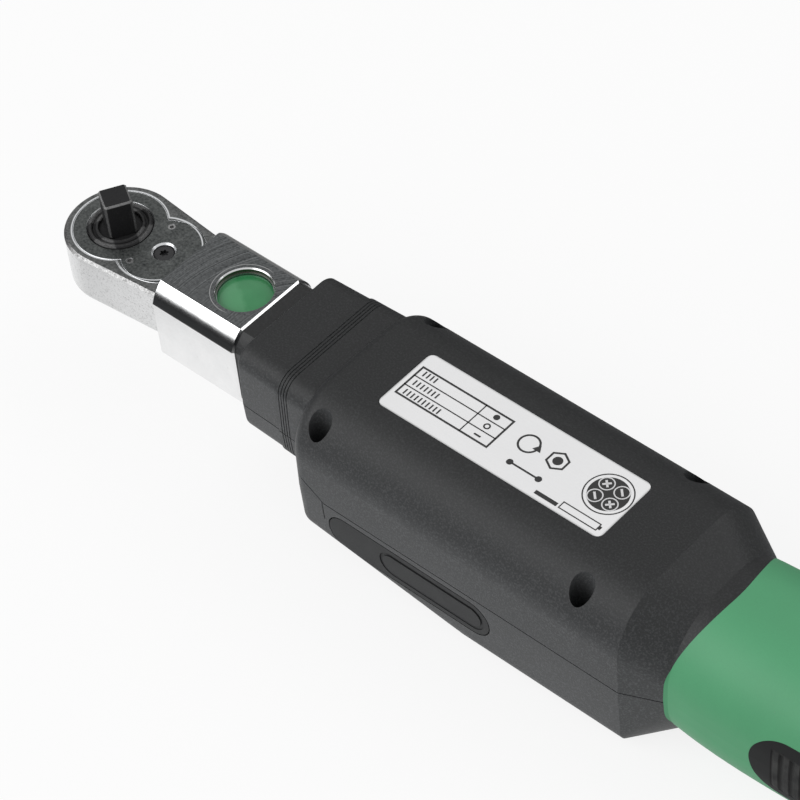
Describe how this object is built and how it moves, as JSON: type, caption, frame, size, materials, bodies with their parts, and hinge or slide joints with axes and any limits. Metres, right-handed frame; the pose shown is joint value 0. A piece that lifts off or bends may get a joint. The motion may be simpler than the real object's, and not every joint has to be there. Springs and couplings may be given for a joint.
{
  "type": "digital torque wrench",
  "caption": "Ratcheting electronic torque wrench: small reversible head on a plug-in holder, black case with display and keys, green battery grip.",
  "frame": {"origin": "on the square drive's axis, at the level where a socket seats on the collar", "axes": "+X from the ratchet head to the grip's end, +Z out along the square drive, +Y to the side without the cable port"},
  "size_m": [0.2875, 0.0444, 0.0429],
  "materials": {
    "bright_steel": "bright brushed",
    "bearing_ball": "polished",
    "head_chrome": "mirror chrome",
    "cover_steel": "satin",
    "black_steel": "black oxide",
    "holder_chrome": "brushed top, polished flanks",
    "hard_steel": "ground",
    "spring_steel": "drawn wire",
    "plated_steel": "zinc plated",
    "bush_bronze": "sintered bronze",
    "button_green": "glossy",
    "case_black": "fine grain",
    "inner_black": "moulded",
    "grip_green": "soft satin",
    "pad_black": "soft matt",
    "seal_rubber": "matt",
    "label_silver": "satin foil",
    "window_clear": "clear, dark tint",
    "lens_smoke": "smoked, glossy",
    "board_green": "solder mask",
    "gauge_foil": "foil",
    "contact_plate": "plated",
    "cell_jacket": "printed sleeve"
  },
  "bodies": {
    "handle": {"carrier_frame": "plated_steel", "pivot_pin": "hard_steel", "pivot_bushes": "bush_bronze", "trip_rod": "hard_steel", "trip_springs": "spring_steel", "neck_sleeve_upper": "case_black", "neck_sleeve_lower": "case_black", "rear_shell": "case_black", "front_shell": "case_black", "signal_lens": "lens_smoke", "display_window": "window_clear", "housing_screws": "black_steel", "label_plate": "label_silver", "display_module": "inner_black", "main_board": "board_green", "buzzer": "inner_black", "port_socket": "bright_steel", "key_mat": "seal_rubber", "grip_shell": "grip_green", "grip_pads": "pad_black", "battery_tube": "inner_black", "front_contacts": "contact_plate", "rear_contact_plate": "contact_plate", "cell_1": "cell_jacket", "cell_2": "cell_jacket", "cell_3": "cell_jacket", "cell_4": "cell_jacket", "cell_springs": "spring_steel"},
    "torque_lever": {"insert_holder": "holder_chrome", "holder_collar": "inner_black", "button_clip": "spring_steel", "measuring_bar": "hard_steel", "bar_pin": "hard_steel", "strain_gauges": "gauge_foil", "ratchet_head": "head_chrome", "cover_plate": "cover_steel", "cover_screws": "black_steel", "lock_pin_spring": "spring_steel"},
    "carriage": {"trip_carriage": "bush_bronze"},
    "drive": {"square_drive": "black_steel", "ball_spring": "spring_steel"},
    "ball": {"detent_ball": "bearing_ball"},
    "reverser": {"reversing_lever": "black_steel", "lobe_screw": "black_steel", "pawl_plunger": "hard_steel", "pawl_spring": "spring_steel"},
    "pawl": {"pawl": "hard_steel"},
    "button": {"release_button": "button_green"},
    "catch_pin": {"lock_pin": "hard_steel"},
    "power_key": {"power_key": "pad_black"},
    "mode_key": {"mode_key": "pad_black"},
    "down_key": {"down_key": "pad_black"},
    "up_key": {"up_key": "pad_black"},
    "port_flap": {"port_cover": "seal_rubber"},
    "cap": {"battery_cap": "inner_black", "cap_seal": "seal_rubber"}
  },
  "joints": [
    {"name": "torque_flex", "type": "hinge", "parent": "handle", "child": "torque_lever", "pos_m": [0.066, 0, -0.0081], "axis": [0, 0, 1], "range_deg": [-2, 2], "stiffness_Nm_per_rad": 40},
    {"name": "carriage_slide", "type": "slide", "parent": "handle", "child": "carriage", "axis": [0, 1, 0], "range_m": [-0.00271, 0.00271], "deforming": ["trip_springs"]},
    {"name": "drive_spin", "type": "hinge", "parent": "torque_lever", "child": "drive", "pos_m": [0, 0, 0], "axis": [0, 0, 1], "continuous": true},
    {"name": "ball_press", "type": "slide", "parent": "drive", "child": "ball", "axis": [-0.509, -0.8607, 0], "range_m": [0, 0.00055], "stiffness_N_per_m": 400, "deforming": ["ball_spring"]},
    {"name": "reverser_turn", "type": "hinge", "parent": "torque_lever", "child": "reverser", "pos_m": [0.01335, 0, -0.008], "axis": [0, 0, 1], "range_deg": [-70, 0]},
    {"name": "pawl_rock", "type": "hinge", "parent": "torque_lever", "child": "pawl", "pos_m": [0.01335, 0, -0.008], "axis": [0, 0, 1], "range_deg": [-10, 0]},
    {"name": "button_press", "type": "slide", "parent": "torque_lever", "child": "button", "axis": [0, 0, -1], "range_m": [0, 0.0013], "stiffness_N_per_m": 500, "deforming": ["lock_pin_spring"]},
    {"name": "catch_slide", "type": "slide", "parent": "torque_lever", "child": "catch_pin", "axis": [0, 0, -1], "range_m": [0, 0.0013], "deforming": ["lock_pin_spring"]},
    {"name": "power_key_press", "type": "slide", "parent": "handle", "child": "power_key", "axis": [0, 0, 1], "range_m": [0, 0.0005], "stiffness_N_per_m": 600, "deforming": ["key_mat"]},
    {"name": "mode_key_press", "type": "slide", "parent": "handle", "child": "mode_key", "axis": [0, 0, 1], "range_m": [0, 0.0005], "stiffness_N_per_m": 600, "deforming": ["key_mat"]},
    {"name": "down_key_press", "type": "slide", "parent": "handle", "child": "down_key", "axis": [0, 0, 1], "range_m": [0, 0.0005], "stiffness_N_per_m": 600, "deforming": ["key_mat"]},
    {"name": "up_key_press", "type": "slide", "parent": "handle", "child": "up_key", "axis": [0, 0, 1], "range_m": [0, 0.0005], "stiffness_N_per_m": 600, "deforming": ["key_mat"]},
    {"name": "flap_hinge", "type": "hinge", "parent": "handle", "child": "port_flap", "pos_m": [0.0796, -0.0222, -0.0229], "axis": [0, 0, -1], "range_deg": [0, 100]},
    {"name": "cap_turn", "type": "hinge", "parent": "handle", "child": "cap", "pos_m": [0.268, 0, -0.0152], "axis": [1, 0, 0], "range_deg": [0, 60]}
  ],
  "couplings": [
    {"joint": "carriage_slide", "follows": "torque_flex", "m_per_rad": 0.0775},
    {"joint": "pawl_rock", "follows": "reverser_turn", "ratio": 0.14286},
    {"joint": "catch_slide", "follows": "button_press", "ratio": 1}
  ]
}
